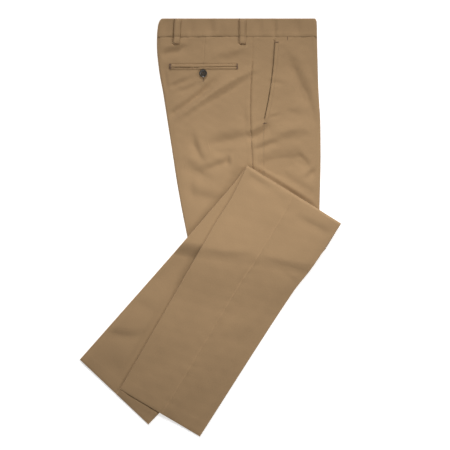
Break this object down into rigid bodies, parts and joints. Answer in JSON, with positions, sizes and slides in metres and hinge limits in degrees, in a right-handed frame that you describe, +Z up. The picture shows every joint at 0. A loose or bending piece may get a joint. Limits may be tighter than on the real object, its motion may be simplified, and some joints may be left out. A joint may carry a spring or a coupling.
{
  "type": "chino trousers",
  "caption": "Cotton twill chino trousers lying flat on their left side, with the legs folded up over the hip and down again.",
  "frame": {"origin": "centre of the bounding box, on the surface that the folded trousers lie on", "axes": "+Y towards the waist edge, +X towards the front of the trousers, +Z up from the surface"},
  "size_m": [0.522, 0.835, 0.0195],
  "materials": {
    "cotton_twill": "matte brushed khaki twill",
    "button_horn": "polished dark brown horn look"
  },
  "bodies": {
    "root": {"right_back_hip": "cotton_twill", "right_front_hip": "cotton_twill", "right_pocket_facing": "cotton_twill", "left_back_hip": "cotton_twill", "left_front_hip": "cotton_twill", "hidden_hip_layers": "cotton_twill", "waistband_right": "cotton_twill", "waistband_left": "cotton_twill", "belt_loop_right_back": "cotton_twill", "belt_loop_right_side": "cotton_twill", "back_pocket_welt_upper": "cotton_twill", "back_pocket_welt_lower": "cotton_twill", "hidden_fold_layers": "cotton_twill", "left_back_leg": "cotton_twill", "left_front_leg": "cotton_twill", "right_back_leg": "cotton_twill", "right_front_leg": "cotton_twill", "back_pocket_button": "button_horn"}
  },
  "joints": []
}
